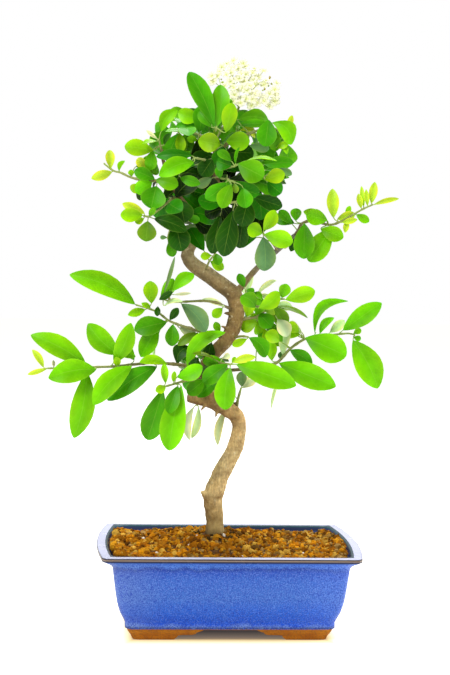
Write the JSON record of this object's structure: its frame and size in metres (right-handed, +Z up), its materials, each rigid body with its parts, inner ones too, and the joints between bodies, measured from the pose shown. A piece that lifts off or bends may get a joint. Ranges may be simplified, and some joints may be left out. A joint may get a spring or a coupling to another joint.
{
  "type": "firethorn bonsai",
  "caption": "Firethorn bonsai with a twice-bent trunk, leafy side shoots, a rounded head and a cream flower cluster, planted in a rectangular blue glazed pot on stepped feet.",
  "frame": {"origin": "centre of the bounding box's base, on the plane that the pot's feet stand on", "axes": "+Z up along the plant, +X to the right of the pot's long front, -Y to the viewer"},
  "size_m": [0.2916, 0.1536, 0.4483],
  "materials": {
    "glaze": "gloss",
    "soil": "matte",
    "bark": "matte",
    "leaf": "satin",
    "petal": "matte",
    "screen": "matte"
  },
  "bodies": {
    "root": {"pot": "glaze", "soil": "soil", "trunk": "bark", "drain_screen_left": "screen", "drain_screen_right": "screen", "flower_corymb": "petal", "stem_back_left": "leaf", "stem_back_low": "leaf", "stem_back_middle": "leaf", "stem_back_right": "leaf", "stem_back_side": "leaf", "stem_back_top": "leaf", "stem_branch_front": "leaf", "stem_branch_right": "leaf", "stem_centre": "leaf", "stem_centre_top": "leaf", "stem_centre_whorl": "leaf", "stem_crown": "leaf", "stem_crown_left": "leaf", "stem_crown_right": "leaf", "stem_elbow": "leaf", "stem_head_bottom": "leaf", "stem_head_right": "leaf", "stem_left_bottom": "leaf", "stem_left_inner": "leaf", "stem_left_long": "leaf", "stem_left_low": "leaf", "stem_left_mid": "leaf", "stem_left_shoot": "leaf", "stem_left_top": "leaf", "stem_low_back": "leaf", "stem_lower_back": "leaf", "stem_mid_left": "leaf", "stem_mid_left_upper": "leaf", "stem_middle_back": "leaf", "stem_right_long": "leaf", "stem_right_low": "leaf", "stem_right_mid": "leaf", "stem_right_upper": "leaf", "stem_under_trunk": "leaf"}
  },
  "joints": []
}
